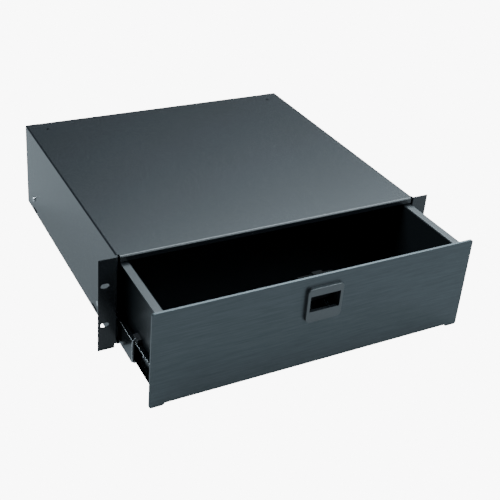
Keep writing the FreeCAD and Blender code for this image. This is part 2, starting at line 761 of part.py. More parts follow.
def make_middle_bumper(side):
    """The moulded end of a middle rail: a tongue inside it and a hood round its upper race.

    A right-hand part is turned half round, so its outline is drawn upside down.
    """
    body = new_body(f"{side}_middle_bumper")
    up = -1 if side == "right" else 1
    left = middle_stand + rail_sheet + part_gap
    right = inner_ball[0] - ball_radius - part_gap
    inside = inner_ball[1] - race_back - part_gap * 2
    hood_left = outer_ball[0] + race_back + part_gap
    hood_right = slide_width - part_gap
    hood_foot = inner_ball[1] - ball_radius / 2
    hood_top = slide_height / 2 - part_gap
    shoulder = hood_foot + ball_radius
    nose = [
        (left, -inside),
        (right, -inside),
        (right, hood_foot),
        (hood_right, hood_foot),
        (hood_right, hood_top),
        (hood_left, hood_top),
        (hood_left, shoulder),
        (left, shoulder),
    ]
    add(body, f"{side}_bumper_nose", "XZ_Plane", [upright(nose, up)],
        middle_front - bumper_nose, bumper_nose)
    block = [
        (hood_left, hood_foot),
        (hood_right, hood_foot),
        (hood_right, hood_top),
        (hood_left, hood_top),
    ]
    add(body, f"{side}_hood_nose", "XZ_Plane", [upright(block, up)],
        middle_front - hood_nose, hood_nose)
    tongue = [rectangle(left, right, -inside, inside)]
    add(body, f"{side}_bumper_tongue", "XZ_Plane", tongue, middle_front, bumper_length)
    past_race = inner_ball[0] + race_back + part_gap
    above_race = inner_ball[1] + race_back + part_gap
    hood = [
        (past_race, hood_foot),
        (hood_right, hood_foot),
        (hood_right, hood_top),
        (hood_left, hood_top),
        (hood_left, above_race),
        (past_race, above_race),
    ]
    add(body, f"{side}_bumper_hood", "XZ_Plane", [upright(hood, up)], middle_front, hood_length)
    place_slide_part(body, side, 1 / 2)
    return body


def make_rear_stop(side):
    """The plastic block that the middle rail meets when the drawer is pushed home."""
    body = new_body(f"{side}_rear_stop")
    stop = [rounded_rectangle(rail_sheet, slide_width - rail_sheet * 2,
                              -stop_width / 2, stop_width / 2, part_gap * 2)]
    add(body, f"{side}_stop_block", "XZ_Plane", stop, outer_front + outer_length - stop_length,
        stop_length)
    place_slide_part(body, side, 0)
    return body


def screw_profile(seat, tip, thread, head, dome):
    """Half of a pan-head screw along the first axis, from its seat to its tip."""
    shoulder = dome / 3
    way = sign(tip.number - seat.number)
    return [
        (seat - dome * way, 0),
        (seat - dome * way, head / 2 - shoulder * 2),
        (seat - shoulder * way, head / 2),
        (seat, head / 2),
        (seat, thread / 2),
        (tip, thread / 2),
        (tip, 0),
    ]


def make_screw_group(label, seat, tip, fronts):
    """Screws along X at both ends of both slides, in one node."""
    body = new_body(label)
    profile = screw_profile(seat, tip, screw_size, screw_head, screw_head_height)
    turned = spin(body, f"{label}_turned", "XZ_Plane", profile, fronts[0])
    repeat(body, turned, "Y_Axis", 2, fronts[1] - fronts[0])
    return body


def make_rail_screws(label, seat, tip, fronts, share):
    """The two screws of one slide, then the same again at the other wall."""
    groups = []
    for side in ("left", "right"):
        body = make_screw_group(f"{label}_{side}", seat, tip, fronts)
        place_slide_part(body, side, share)
        groups.append(body)
    both = doc.addObject("Part::Compound", label)
    both.Label = label
    both.Links = groups
    return both


# ---------------------------------------------------------------- the drawer, drawn shut


def place_in_drawer(item):
    place(item, 0, -drawer_open, 0)


def make_drawer_tray():
    body = new_body("drawer_tray")
    floor_top = tray_foot + drawer_sheet
    rim_reach = tray_inside + rim_width
    path = [
        (-rim_reach, rim_top),
        (-tray_inside, rim_top),
        (-tray_inside, floor_top),
        (tray_inside, floor_top),
        (tray_inside, rim_top),
        (rim_reach, rim_top),
    ]
    add(body, "tray", "XZ_Plane", [bent_sheet(path, drawer_sheet, drawer_bend)],
        panel_back, drawer_length)
    holes = [
        circle(drawer_screw_front, slide_z, screw_size),
        circle(drawer_screw_rear, slide_z, screw_size),
    ]
    cut(body, "tray_holes", "YZ_Plane", holes, -side_face, side_face * 2)
    place_in_drawer(body)
    return body


def make_end_wall(label, face, way):
    """A wall across the tray, with flanges along its sides and foot that point into the drawer."""
    body = new_body(label)
    inner = face + wall_flange * way
    path = [(-tray_inside, inner), (-tray_inside, face), (tray_inside, face), (tray_inside, inner)]
    if way > 0:
        path = path[::-1]
    low = tray_foot + drawer_sheet
    add(body, f"{label}_sheet", "XY_Plane", [bent_sheet(path, drawer_sheet, drawer_bend)],
        low + drawer_sheet * 2, rim_top - low - drawer_sheet * 2)
    reach = tray_inside - drawer_sheet * 2
    base = [(face, low + drawer_sheet * 3), (face, low), (inner, low)]
    if way < 0:
        base = base[::-1]
    add(body, f"{label}_foot", "YZ_Plane", [bent_sheet(base[::-1], drawer_sheet, drawer_bend)],
        -reach, reach * 2)
    place_in_drawer(body)
    return body


def stud_places():
    return [(stud_across / 2 * across, stud_apart / 2 * up) for across in (-1, 1) for up in (-1, 1)]


def make_front_panel():
    body = new_body("front_panel")
    half = panel_width / 2
    high = panel_height / 2
    raised = -high + foot_drop
    outline = [
        (-half + panel_corner, -high),
        (-half + foot_width, -high),
        (-half + foot_width + foot_slope, raised),
        (half - foot_width - foot_slope, raised),
        (half - foot_width, -high),
        (half - panel_corner, -high, panel_corner, 1),
        (half, -high + panel_corner),
        (half, high - panel_corner, panel_corner, 1),
        (half - panel_corner, high),
        (-half + panel_corner, high, panel_corner, 1),
        (-half, high - panel_corner),
        (-half, -high + panel_corner, panel_corner, 1),
    ]
    add(body, "panel_plate", "XZ_Plane", [("outline", outline)], panel_front, panel_plate)
    cut(body, "latch_window", "XZ_Plane", [sleeve_outline(sleeve_inset - fit_gap)],
        panel_front, panel_plate)
    seats = [circle(x, z, stud_size) for x, z in stud_places()]
    cut(body, "stud_seats", "XZ_Plane", seats, panel_back - stud_seat, stud_seat)
    place_in_drawer(body)
    return body


def make_front_wall():
    body = make_end_wall("drawer_front_wall", panel_back, 1)
    cut(body, "wall_latch_window", "XZ_Plane", [sleeve_outline(sleeve_inset - fit_gap)],
        panel_back, drawer_sheet)
    holes = [circle(x, z, stud_size + fit_gap) for x, z in stud_places()]
    cut(body, "wall_stud_holes", "XZ_Plane", holes, panel_back, drawer_sheet)
    return body


def make_panel_studs():
    body = new_body("panel_studs")
    studs = [circle(x, z, stud_size) for x, z in stud_places()]
    add(body, "studs", "XZ_Plane", studs, panel_back - stud_seat, stud_seat + stud_length)
    place_in_drawer(body)
    return body


def make_panel_nuts():
    body = new_body("panel_nuts")
    nuts = [hexagon(centre, nut_flats) for centre in stud_places()]
    add(body, "nuts", "XZ_Plane", nuts, panel_back + drawer_sheet, nut_height)
    bores = [circle(x, z, stud_size) for x, z in stud_places()]
    cut(body, "nut_bores", "XZ_Plane", bores, panel_back + drawer_sheet, nut_height)
    place_in_drawer(body)
    return body


# ---------------------------------------------------------------- the latch


def sleeve_outline(inset):
    """The rectangle inside the bezel's outline by `inset`."""
    reach = latch_width / 2 - inset
    return rectangle(-reach, reach, latch_z + inset, latch_z + latch_height - inset)


def boss_places():
    return [(boss_across / 2 * across, latch_z + boss_rise) for across in (-1, 1)]


def make_latch_bezel():
    """The moulded frame round the finger opening, with a sleeve through the panel."""
    body = new_body("latch_bezel")
    half = latch_width / 2
    plate = rounded_rectangle(-half, half, latch_z, latch_z + latch_height, latch_corner)
    add(body, "bezel_plate", "XZ_Plane", [plate], panel_front - latch_proud, latch_proud)
    face = (panel_front - latch_proud).number

    def on_the_face(edge):
        return all(abs(vertex.Y - face) < 1e-6 for vertex in edge.Vertexes)

    round_edges(body, "bezel_round", bezel_edge, on_the_face)
    add(body, "sleeve", "XZ_Plane", [sleeve_outline(sleeve_inset)], panel_front, sleeve_depth)
    cut(body, "sleeve_inside", "XZ_Plane", [sleeve_outline(sleeve_inset + sleeve_wall)],
        panel_front, sleeve_depth)
    mouth = rounded_rectangle(-mouth_width / 2, mouth_width / 2, mouth_low, mouth_high, bezel_edge)
    cut(body, "mouth", "XZ_Plane", [mouth], panel_front - latch_proud, latch_proud)
    bosses = [circle(x, z, boss_size) for x, z in boss_places()]
    add(body, "bosses", "XZ_Plane", bosses, panel_front, box_depth - box_wall)
    bores = [circle(x, z, latch_screw) for x, z in boss_places()]
    bore_start = panel_front + box_depth - latch_screw_length
    cut(body, "boss_bores", "XZ_Plane", bores, bore_start, latch_screw_length - box_wall)
    pin_hole = [circle(hinge[0], hinge[1], pin_size)]
    reach = latch_width / 2 - sleeve_inset
    cut(body, "pin_holes", "YZ_Plane", pin_hole, -reach, reach * 2)
    slot = bolt_width / 2 + fit_gap
    roof = latch_z + latch_height - sleeve_inset - sleeve_wall
    gap = [rectangle(-slot, slot, bolt_front - fit_gap, panel_front + sleeve_depth)]
    cut(body, "sleeve_roof_slot", "XY_Plane", gap, roof, sleeve_wall)
    place_in_drawer(body)
    return body


def make_latch_box():
    """The cup behind the panel that closes the latch, guides the bolt and holds the spring."""
    body = new_body("latch_box")
    inside = sleeve_inset - fit_gap
    outside = inside - box_wall
    start = panel_back + drawer_sheet
    depth = panel_front + box_depth - start
    add(body, "cup", "XZ_Plane", [sleeve_outline(outside)], start, depth)
    add(body, "cup_flange", "XZ_Plane", [sleeve_outline(outside - box_flange)], start, box_wall)
    cut(body, "cup_inside", "XZ_Plane", [sleeve_outline(inside)], start, depth - box_wall)
    seat_reach = spring_size / 2 + part_gap
    seat_top = spring_foot
    seat_front = leg_middle - seat_reach
    seat_back = panel_front + box_depth - box_wall / 2
    seat = [rectangle(seat_front, seat_back, seat_top - seat_height, seat_top)]
    add(body, "spring_seat", "YZ_Plane", seat, -seat_reach, seat_reach * 2)
    slot = bolt_width / 2 + fit_gap
    roof = latch_z + latch_height - inside
    gap = [rectangle(-slot, slot, start, leg_back + fit_gap)]
    cut(body, "cup_roof_slot", "XY_Plane", gap, roof, box_wall + box_flange)
    holes = [circle(x, z, latch_screw + fit_gap) for x, z in boss_places()]
    cut(body, "cup_screw_holes", "XZ_Plane", holes, panel_front + box_depth - box_wall, box_wall)
    place_in_drawer(body)
    return body


def make_latch_bolt():
    body = new_body("latch_bolt")
    ramp_foot = (bolt_back, bridge_top + part_gap)
    side_view = [
        (bolt_front, bridge_foot),
        (leg_back, bridge_foot),
        (leg_back, bridge_top),
        (bolt_back, bridge_top),
        ramp_foot,
        (bolt_front + bolt_thick / 3, bolt_tip),
        (bolt_front, bolt_tip),
    ]
    add(body, "bolt_head", "YZ_Plane", [("outline", side_view)], -bolt_width / 2, bolt_width)
    leg = [rectangle(leg_front, leg_back, leg_low, bridge_foot)]
    add(body, "bolt_leg", "YZ_Plane", leg, -leg_width / 2, leg_width)
    room = arm_nose / 2 + fit_gap
    mouth = room + leg_thick / 2 * math.tan(math.radians(lever_turn.number))
    slot = [
        (leg_front, hinge[1] - room),
        (leg_back, hinge[1] - room),
        (leg_back, hinge[1] + room),
        (leg_middle, hinge[1] + room),
        (leg_front, hinge[1] + mouth),
    ]
    reach = arm_width / 2 + fit_gap
    cut(body, "arm_slot", "YZ_Plane", [("outline", slot)], -reach, reach * 2)
    place_in_drawer(body)
    return body


def make_latch_lever():
    """The finger plate leans back from the pin, and the arm behind it pulls the bolt down."""
    body = new_body("latch_lever")
    y, z = hinge
    slant = math.radians(lever_slant.number)
    half = lever_plate / 2
    along_y, along_z = math.sin(slant), -math.cos(slant)
    plate = [
        (y - half * along_z, z + half * along_y),
        (y + half * along_z, z - half * along_y),
        (y + lever_reach * along_y + half * along_z, z + lever_reach * along_z - half * along_y),
        (y + lever_reach * along_y - half * along_z, z + lever_reach * along_z + half * along_y),
    ]
    add(body, "finger_plate", "YZ_Plane", [("outline", plate)], -lever_width / 2, lever_width)
    add(body, "hub", "YZ_Plane", [circle(y, z, hub_size)], -lever_width / 2, lever_width)
    nose = arm_nose / 2
    arm = [rectangle(y, y + arm_reach, z - nose, z + nose)]
    add(body, "arm", "YZ_Plane", arm, -arm_width / 2, arm_width)
    add(body, "arm_tip", "YZ_Plane", [circle(y + arm_reach, z, arm_nose)], -arm_width / 2, arm_width)
    bore = [circle(y, z, pin_size + pin_play * 2)]
    cut(body, "hub_bore", "YZ_Plane", bore, -lever_width / 2, lever_width)
    place_in_drawer(body)
    return body


def make_latch_pin():
    body = new_body("latch_pin")
    reach = latch_width / 2 - sleeve_inset
    add(body, "pin", "YZ_Plane", [circle(hinge[0], hinge[1], pin_size)], -reach, reach * 2)
    place_in_drawer(body)
    return body


def make_latch_spring():
    """A compression spring between the ledge and the foot of the bolt's leg."""
    body = new_body("latch_spring")
    middle = spring_size / 2 - spring_wire / 2
    section = hexagon((middle, spring_wire / 2), spring_wire)
    wire = new_sketch(body, "spring_wire", "XZ_Plane", [section], 0)
    coil = body.newObject("PartDesign::AdditiveHelix", "spring_coil")
    coil.Profile = wire
    coil.ReferenceAxis = (wire, ["V_Axis"])
    coil.Mode = "height-turns-growth"
    height = spring_length - spring_wire
    coil.setExpression("Height", height.text)
    coil.setExpression("Turns", spring_turns.text)
    place(body, 0, leg_middle - drawer_open, spring_foot)
    return body


def make_latch_screws():
    body = new_body("latch_screws")
    seat = panel_front + box_depth
    tip = seat - latch_screw_length + part_gap
    for number, (x, z) in enumerate(boss_places()):
        profile = screw_profile(seat, tip, latch_screw, latch_screw_head, latch_screw_dome)
        turned = [(x + radius, y) for y, radius in profile]
        spin_screw(body, f"latch_screw_{number}", turned, x, z)
    place_in_drawer(body)
    return body


def spin_screw(body, name, profile, x, z):
    """Turns a screw's outline about a line along Y at the given place."""
    sketch = new_sketch(body, f"{name}_sketch", "XY_Plane", [("outline", profile)], z)
    line = Part.LineSegment(FreeCAD.Vector(x.number, 0, 0), FreeCAD.Vector(x.number, -1, 0))
    sketch.addGeometry(line, True)
    turned = body.newObject("PartDesign::Revolution", name)
    turned.Profile = sketch
    turned.ReferenceAxis = (sketch, ["Axis0"])
    turned.Angle = 360
    return turned


# ---------------------------------------------------------------- the whole drawer


def make_all():
    parts = [make_case_wrap(), make_rear_panel()]
    for side in ("left", "right"):
        parts += [
            make_outer_rail(side),
            make_rear_stop(side),
            make_outer_cage(side),
            make_balls(f"{side}_outer_balls", side, outer_ball, 1 / 4),
            make_middle_rail(side),
            make_middle_bumper(side),
            make_inner_cage(side),
            make_balls(f"{side}_inner_balls", side, inner_ball, 3 / 4),
            make_inner_rail(side),
        ]
    parts += [
        make_rail_screws("case_rail_screws", -case_sheet, rail_sheet + screw_tail,
                         (case_screw_front, case_screw_rear), 0),
        make_rail_screws("drawer_rail_screws", slide_width + drawer_sheet,
                         slide_width - rail_sheet - screw_tail,
                         (drawer_screw_front, drawer_screw_rear), 1),
        make_drawer_tray(),
        make_front_wall(),
        make_end_wall("drawer_rear_wall", panel_back + drawer_length, -1),
        make_front_panel(),
        make_panel_studs(),
        make_panel_nuts(),
        make_latch_bezel(),
        make_latch_box(),
        make_latch_screws(),
        make_latch_lever(),
        make_latch_pin(),
        make_latch_bolt(),
        make_latch_spring(),
    ]
    return parts


def check(parts):
    """Stops if a feature failed, a cut took nothing away or a sub-part isn't a sound solid."""
    for item in doc.Objects:
        if "Invalid" in item.State or "Error" in item.State:
            raise RuntimeError(f"{item.Name} failed: {item.State} {item.getStatusString()}")
        if item.TypeId == "PartDesign::Pocket":
            before = item.BaseFeature.Shape.Volume
            if item.Shape.Volume > before - 1e-3:
                raise RuntimeError(f"{item.Name} cuts nothing")
    for part in parts:
        if part.Shape.isNull() or not part.Shape.isValid() or not part.Shape.Solids:
            raise RuntimeError(f"{part.Label} isn't a sound solid")


def export(parts):
    os.makedirs("parts", exist_ok=True)
    for part in parts:
        part.Shape.exportStep(f"parts/{part.Label}.step")
        print(f"{part.Label}: {len(part.Shape.Solids)} solid(s), {part.Shape.Volume / 1000:.2f} cm3")


all_parts = make_all()
doc.recompute()
check(all_parts)
export(all_parts)
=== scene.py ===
# %% [markdown]
# # A sliding rack drawer
#
# The real object is a folded steel case with rack ears, and a steel drawer that runs in it on
# ball-bearing slides. Its front is a brushed, black-anodised aluminium panel with a moulded
# finger latch. The measured solids come from the CAD model. This lesson gives them their
# finishes, rounds their raw edges and adds the fine pieces that a solid model leaves out.

# %% Load the measured model
import json
import math

import bmesh
import bpy
from mathutils import Matrix, Vector


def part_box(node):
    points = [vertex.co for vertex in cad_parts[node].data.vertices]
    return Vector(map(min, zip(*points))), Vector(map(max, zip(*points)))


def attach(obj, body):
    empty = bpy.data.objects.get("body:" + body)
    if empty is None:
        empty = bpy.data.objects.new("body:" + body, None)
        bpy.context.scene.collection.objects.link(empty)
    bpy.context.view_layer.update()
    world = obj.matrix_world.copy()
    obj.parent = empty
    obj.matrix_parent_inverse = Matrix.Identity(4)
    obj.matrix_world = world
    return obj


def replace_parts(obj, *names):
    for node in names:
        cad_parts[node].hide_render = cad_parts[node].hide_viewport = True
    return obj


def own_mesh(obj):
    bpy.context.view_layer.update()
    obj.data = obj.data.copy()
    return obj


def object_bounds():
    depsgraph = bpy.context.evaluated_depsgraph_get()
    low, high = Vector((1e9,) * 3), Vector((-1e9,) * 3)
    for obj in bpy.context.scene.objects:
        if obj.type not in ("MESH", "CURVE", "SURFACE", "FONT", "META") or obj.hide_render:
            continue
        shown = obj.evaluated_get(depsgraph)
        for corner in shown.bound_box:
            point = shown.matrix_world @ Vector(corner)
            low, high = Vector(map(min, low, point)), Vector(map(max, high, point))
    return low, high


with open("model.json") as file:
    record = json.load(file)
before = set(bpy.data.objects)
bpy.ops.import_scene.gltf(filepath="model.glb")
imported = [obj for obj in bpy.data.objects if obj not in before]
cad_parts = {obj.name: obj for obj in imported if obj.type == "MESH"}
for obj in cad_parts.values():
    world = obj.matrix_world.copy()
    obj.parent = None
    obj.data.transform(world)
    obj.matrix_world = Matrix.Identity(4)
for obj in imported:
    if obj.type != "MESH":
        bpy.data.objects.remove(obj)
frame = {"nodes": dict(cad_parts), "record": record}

scene = bpy.context.scene
nodes = frame["nodes"]
cad_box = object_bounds()
mm = 0.001

# %% [markdown]
# ## Camera
#
# The camera stands to the left and above, with a lens of medium length. A tracking constraint
# could aim it, but three angles are enough and easy to read: how far round it stands, how high,
# and how much it leans. A small shift of the lens keeps the tall lines upright.

# %% Place the camera
azimuth, elevation, lean = (math.radians(angle) for angle in (-28.653, 27.203, 4.333))
camera_place = Vector((-0.5488, -0.8700, 0.6603))
towards_camera = Vector((
    math.sin(azimuth) * math.cos(elevation),
    -math.cos(azimuth) * math.cos(elevation),
    math.sin(elevation),
))
level = Vector((math.cos(azimuth), math.sin(azimuth), 0))
upright = towards_camera.cross(level)
right = level * math.cos(lean) + upright * math.sin(lean)
up = towards_camera.cross(right)
axes = Matrix((right, up, towards_camera)).transposed()

camera = bpy.data.objects.new("camera", bpy.data.cameras.new("camera"))
scene.collection.objects.link(camera)
camera.matrix_world = Matrix.Translation(camera_place) @ axes.to_4x4()
camera.data.sensor_width = 36
camera.data.lens = 66.35
camera.data.shift_x = 0.04
camera.data.shift_y = -0.15
camera.data.clip_start = 0.01
scene.camera = camera
print("camera at", [round(value, 3) for value in camera.location])

# %% [markdown]
# ## Studio
#
# Black metal shows its shape through what it reflects, so the room matters more than the
# brightness. The pale floor fills the front panel and the left wall. Lamps to the right and left
# shade them from one end to the other, and a narrow strip hangs overhead for the thin bright
# lines along the bends. A lamp with hard edges would leave its own outline on the glossy top, so
# the backdrop behind to the right has two round glows that fade out slowly. The camera itself
# sees floor and backdrop as plain white, so that no line shows where they meet.

# %% Lay the floor
def new_piece(name, mesh):
    """Puts a bmesh into the scene as an object at the origin."""
    data = bpy.data.meshes.new(name)
    mesh.to_mesh(data)
    mesh.free()
    piece = bpy.data.objects.new(name, data)
    scene.collection.objects.link(piece)
    return piece


floor_half_width, floor_gap = 12, 0.3 * mm
floor_mesh = bmesh.new()
bmesh.ops.create_grid(floor_mesh, x_segments=1, y_segments=1, size=floor_half_width)
bmesh.ops.translate(floor_mesh, verts=floor_mesh.verts, vec=(0, 0, cad_box[0].z - floor_gap))
floor = new_piece("studio_floor", floor_mesh)
print("floor at z", round(floor.data.vertices[0].co.z, 4))

# %% Hang the lights
cool_white = (0.78, 0.92, 1.0)


def soft_light(name, place, target, width, height, power):
    """A rectangular soft light that faces its target."""
    lamp = bpy.data.lights.new(name, "AREA")
    lamp.shape = "RECTANGLE"
    lamp.size, lamp.size_y = width, height
    lamp.energy = power
    lamp.color = cool_white
    light = bpy.data.objects.new(name, lamp)
    light.location = place
    light.rotation_mode = "QUATERNION"
    light.rotation_quaternion = (Vector(target) - Vector(place)).to_track_quat("-Z", "Y")
    scene.collection.objects.link(light)


soft_light("front_right_light", (1.0, -1.1, 1.15), target=(0.1, -0.1, 0),
           width=1.9, height=1.4, power=44)
soft_light("overhead_light", (0.93, 0.0, 2.0), target=(0.1, 0, 0),
           width=0.3, height=2.0, power=26)
soft_light("left_light", (-1.11, 0.30, 1.64), target=(0, 0, 0),
           width=0.8, height=0.8, power=60)

# %% Show the camera a white room
seen_white = 9.0


def wire(tree, *pairs):
    """Joins sockets, given as (from, to)."""
    for start, end in pairs:
        tree.links.new(start, end)


def white_when_seen(tree, lit, plain_type, output):
    """Gives the camera plain white, and every other ray the lit shader."""
    plain = tree.nodes.new(plain_type)
    plain.inputs["Color"].default_value = (1, 1, 1, 1)
    plain.inputs["Strength"].default_value = seen_white
    seen = tree.nodes.new("ShaderNodeLightPath").outputs["Is Camera Ray"]
    choice = tree.nodes.new("ShaderNodeMixShader")
    wire(tree, (seen, choice.inputs[0]), (lit, choice.inputs[1]),
         (plain.outputs[0], choice.inputs[2]),
         (choice.outputs["Shader"], output.inputs["Surface"]))


print("the room's white has strength", seen_white)

# %% Let the backdrop glow
def calculate(tree, operation, value, number):
    """One Math node, whose second value is a plain number or another socket."""
    step = tree.nodes.new("ShaderNodeMath")
    step.operation = operation
    tree.links.new(value, step.inputs[0])
    if isinstance(number, bpy.types.NodeSocket):
        tree.links.new(number, step.inputs[1])
    else:
        step.inputs[1].default_value = number
    return step.outputs["Value"]


def glowing_backdrop(base, glows, softness):
    """A dim world with round glows, each given as (azimuth, height, strength), in degrees."""
    world = bpy.data.worlds.new("studio")
    world.use_nodes = True
    tree = world.node_tree
    backdrop = tree.nodes["Background"]
    backdrop.inputs["Color"].default_value = (*cool_white, 1)
    direction = tree.nodes.new("ShaderNodeTexCoord").outputs["Generated"]
    total = base
    for around, height, strength in glows:
        around, height = math.radians(around), math.radians(height)
        nearness = tree.nodes.new("ShaderNodeVectorMath")
        nearness.operation = "DOT_PRODUCT"
        nearness.inputs[1].default_value = (
            math.sin(around) * math.cos(height), math.cos(around) * math.cos(height),
            math.sin(height))
        tree.links.new(direction, nearness.inputs[0])
        value = nearness.outputs["Value"]
        for operation, number in (("MAXIMUM", 0), ("POWER", softness), ("MULTIPLY", strength),
                                  ("ADD", total)):
            value = calculate(tree, operation, value, number)
        total = value
    tree.links.new(total, backdrop.inputs["Strength"])
    white_when_seen(tree, backdrop.outputs["Background"], "ShaderNodeBackground",
                    tree.nodes["World Output"])
    return world


glows = ((30, 52, 20), (50, 45, 20))
scene.world = glowing_backdrop(base=0.04, glows=glows, softness=60)
print("the backdrop has", len(glows), "glows behind to the right")

# %% [markdown]
# ## Finishes
#
# Every finish here starts from the same few effects: a fine orange-peel grain, long brush
# lines, and slow changes of tone and gloss. Each could be drawn again in every material, but a
# node group is built once and placed with its own values, as one would copy a stamp.

# %% The grain of a powder coat
def new_group(name, inputs, outputs):
    """A shader node group. Inputs are (name, value) and outputs are (name, socket type)."""
    group = bpy.data.node_groups.new(name, "ShaderNodeTree")
    for label, value in inputs:
        kind = "NodeSocketVector" if isinstance(value, tuple) else "NodeSocketFloat"
        socket = group.interface.new_socket(label, in_out="INPUT", socket_type=kind)
        socket.default_value = value
    for label, kind in outputs:
        group.interface.new_socket(label, in_out="OUTPUT", socket_type=kind)
    return group, group.nodes.new("NodeGroupInput"), group.nodes.new("NodeGroupOutput")


def make_grain():
    """Fine orange peel for the bump, and slow patches for the tone and gloss."""
    group, given, result = new_group(
        "coat_grain",
        [("Grain Scale", 900.0), ("Patch Scale", 6.0)],
        [("Height", "NodeSocketFloat"), ("Patches", "NodeSocketFloat")],
    )
    place = group.nodes.new("ShaderNodeTexCoord").outputs["Object"]
    for label, output, detail in (("Grain Scale", "Height", 3), ("Patch Scale", "Patches", 2)):
        noise = group.nodes.new("ShaderNodeTexNoise")
        noise.inputs["Detail"].default_value = detail
        wire(group, (place, noise.inputs["Vector"]), (given.outputs[label], noise.inputs["Scale"]),
             (noise.outputs["Fac"], result.inputs[output]))
    return group


grain = (make_grain(), "Height", "Patches")
print("group", grain[0].name)

# %% The lines of a brushed surface
def make_brushing():
    """Noise squeezed across the brushing, so that it draws long lines along X."""
    group, given, result = new_group(
        "brush_lines",
        [("Stretch", (75.0, 1300.0, 1300.0)), ("Broad Stretch", (30.0, 700.0, 700.0))],
        [("Lines", "NodeSocketFloat"), ("Bands", "NodeSocketFloat")],
    )
    place = group.nodes.new("ShaderNodeTexCoord").outputs["Object"]
    for label, output in (("Stretch", "Lines"), ("Broad Stretch", "Bands")):
        scale = group.nodes.new("ShaderNodeVectorMath")
        scale.operation = "MULTIPLY"
        noise = group.nodes.new("ShaderNodeTexNoise")
        noise.inputs["Scale"].default_value = 1
        noise.inputs["Detail"].default_value = 3
        wire(group, (place, scale.inputs[0]), (given.outputs[label], scale.inputs[1]),
             (scale.outputs["Vector"], noise.inputs["Vector"]),
             (noise.outputs["Fac"], result.inputs[output]))
    return group


brushing = (make_brushing(), "Lines", "Bands")
print("group", brushing[0].name)

# %% [markdown]
# ## One recipe for the solid finishes
#
# A finish is two close tones mixed by a mask, a gloss that changes with another, and a bump.
# Written out by hand, a dozen such materials would repeat themselves, so one function takes the
# tones, the gloss range and the group to use. The uniform values go straight onto the shader.
# A noise keeps mostly to the middle of its range, so that part is stretched to the full one.

# %% The recipe
noise_low, noise_high = 0.3, 0.7


def stretched(tree, noise, to_low, to_high):
    """Stretches the busy part of a noise to a range of its own."""
    node = tree.nodes.new("ShaderNodeMapRange")
    tree.links.new(noise, node.inputs["Value"])
    for label, number in (("From Min", noise_low), ("From Max", noise_high),
                          ("To Min", to_low), ("To Max", to_high)):
        node.inputs[label].default_value = number
    return node.outputs["Result"]


def new_finish(name, effect, settings, tones, gloss, bump, metallic=0.0, shine=0.5):
    """A Principled material. The effect gives a fine signal for gloss and bump, and a slow one
    for the tone, and bump is (strength, distance)."""
    material = bpy.data.materials.new(name)
    material.use_nodes = True
    tree = material.node_tree
    shader = tree.nodes["Principled BSDF"]
    shader.inputs["Metallic"].default_value = metallic
    shader.inputs["Specular IOR Level"].default_value = shine
    group, *signals = effect
    stamp = tree.nodes.new("ShaderNodeGroup")
    stamp.node_tree = group
    for label, value in settings.items():
        stamp.inputs[label].default_value = value
    fine, slow = (stamp.outputs[label] for label in signals)
    tone = tree.nodes.new("ShaderNodeMix")
    tone.data_type = "RGBA"
    colours = [socket for socket in tone.inputs if socket.type == "RGBA"]
    for socket, colour in zip(colours, tones):
        socket.default_value = (*colour, 1)
    mixed = next(socket for socket in tone.outputs if socket.type == "RGBA")
    relief = tree.nodes.new("ShaderNodeBump")
    relief.inputs["Strength"].default_value, relief.inputs["Distance"].default_value = bump
    wire(tree,
         (stretched(tree, slow, 0, 1), tone.inputs[0]),
         (mixed, shader.inputs["Base Color"]),
         (stretched(tree, fine, *gloss), shader.inputs["Roughness"]),
         (fine, relief.inputs["Height"]),
         (relief.outputs["Normal"], shader.inputs["Normal"]))
    return material


print("the recipe stretches the noise from", noise_low, "to", noise_high)

# %% Finishes of the sheet metal
finishes = {
    "case_steel": new_finish(
        "satin_black_powder_coat", grain, {"Grain Scale": 1400.0, "Patch Scale": 5.0},
        tones=((0.005, 0.006, 0.007), (0.007, 0.008, 0.010)),
        gloss=(0.22, 0.28), bump=(0.10, 0.05 * mm)),
    "drawer_steel": new_finish(
        "drawer_black_powder_coat", grain, {"Grain Scale": 1300.0, "Patch Scale": 7.0},
        tones=((0.004, 0.005, 0.006), (0.006, 0.007, 0.008)),
        gloss=(0.28, 0.36), bump=(0.10, 0.05 * mm)),
    "panel_aluminium": new_finish(
        "brushed_black_anodising", brushing, {},
        tones=((0.067, 0.076, 0.080), (0.084, 0.094, 0.099)),
        gloss=(0.32, 0.44), bump=(0.30, 0.04 * mm), metallic=0.9),
}
print("sheet metal:", list(finishes))

